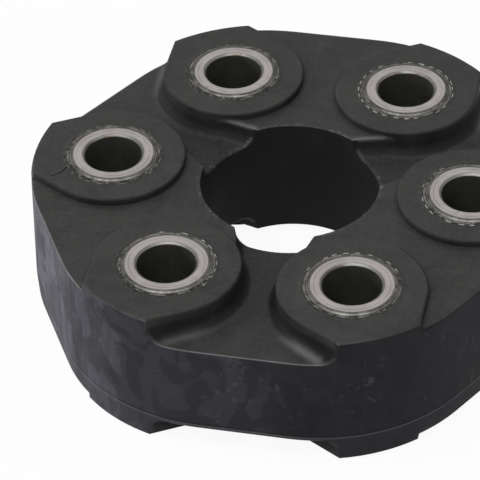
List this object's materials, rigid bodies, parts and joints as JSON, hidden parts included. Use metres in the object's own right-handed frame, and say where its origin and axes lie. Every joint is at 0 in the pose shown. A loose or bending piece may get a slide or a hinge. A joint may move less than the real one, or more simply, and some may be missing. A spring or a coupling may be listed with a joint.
{
  "type": "drive shaft flex joint",
  "caption": "Moulded rubber flex disc with steel bolt sleeves on one circle, alternate thick and thin webs, and an open centre hole.",
  "frame": {"origin": "middle of the disc on the shaft axis, halfway between the two faces", "axes": "+Z along the shaft, out of the face that the picture shows; +X through the middle of sleeve 1; thin webs at 30, 150 and 270 degrees from +X"},
  "size_m": [0.1134, 0.1082, 0.0324],
  "materials": {
    "moulded_rubber": "matt moulded black rubber with faint bloom on the outer wall",
    "steel_sleeve": "turned end faces with concentric tool marks, dull bores",
    "steel_collar": "dull pressed steel",
    "separator_plastic": "plain moulded, hidden inside",
    "wound_cord": "wound polyester cord, hidden inside"
  },
  "bodies": {
    "root": {"sleeve_1": "steel_sleeve", "sleeve_2": "steel_sleeve", "sleeve_3": "steel_sleeve", "sleeve_4": "steel_sleeve", "sleeve_5": "steel_sleeve", "sleeve_6": "steel_sleeve", "end_collar_top_1": "steel_collar", "separator_top_1": "separator_plastic", "end_collar_bottom_1": "steel_collar", "separator_bottom_1": "separator_plastic", "end_collar_top_2": "steel_collar", "separator_top_2": "separator_plastic", "end_collar_bottom_2": "steel_collar", "separator_bottom_2": "separator_plastic", "end_collar_top_3": "steel_collar", "separator_top_3": "separator_plastic", "end_collar_bottom_3": "steel_collar", "separator_bottom_3": "separator_plastic", "end_collar_top_4": "steel_collar", "separator_top_4": "separator_plastic", "end_collar_bottom_4": "steel_collar", "separator_bottom_4": "separator_plastic", "end_collar_top_5": "steel_collar", "separator_top_5": "separator_plastic", "end_collar_bottom_5": "steel_collar", "separator_bottom_5": "separator_plastic", "end_collar_top_6": "steel_collar", "separator_top_6": "separator_plastic", "end_collar_bottom_6": "steel_collar", "separator_bottom_6": "separator_plastic", "push_cord_1": "wound_cord", "pull_cord_top_1": "wound_cord", "pull_cord_bottom_1": "wound_cord", "push_cord_2": "wound_cord", "pull_cord_top_2": "wound_cord", "pull_cord_bottom_2": "wound_cord", "push_cord_3": "wound_cord", "pull_cord_top_3": "wound_cord", "pull_cord_bottom_3": "wound_cord", "rubber_body": "moulded_rubber"}
  },
  "joints": []
}
